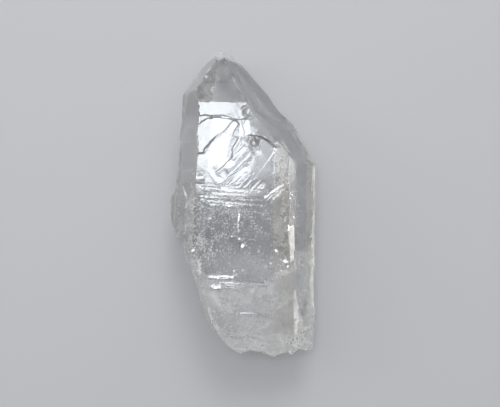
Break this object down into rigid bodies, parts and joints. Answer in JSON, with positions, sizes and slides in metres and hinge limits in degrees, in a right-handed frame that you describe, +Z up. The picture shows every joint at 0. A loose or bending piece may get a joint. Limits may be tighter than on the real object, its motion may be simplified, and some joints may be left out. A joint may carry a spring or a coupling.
{
  "type": "quartz crystal point",
  "caption": "Clear quartz crystal with flat prism faces, a faceted point at one end and a broken, rounded base at the other, lying on one of its faces.",
  "frame": {"origin": "on the surface it lies on, under the middle of the crystal's bounding box", "axes": "+Y along the crystal towards its point, +Z up out of the broad front prism face, +X to the right seen from above"},
  "size_m": [0.0388, 0.0798, 0.022],
  "materials": {
    "quartz": "clear with mirror-smooth growth faces, milky towards the broken base"
  },
  "bodies": {
    "root": {"quartz_crystal": "quartz"}
  },
  "joints": []
}
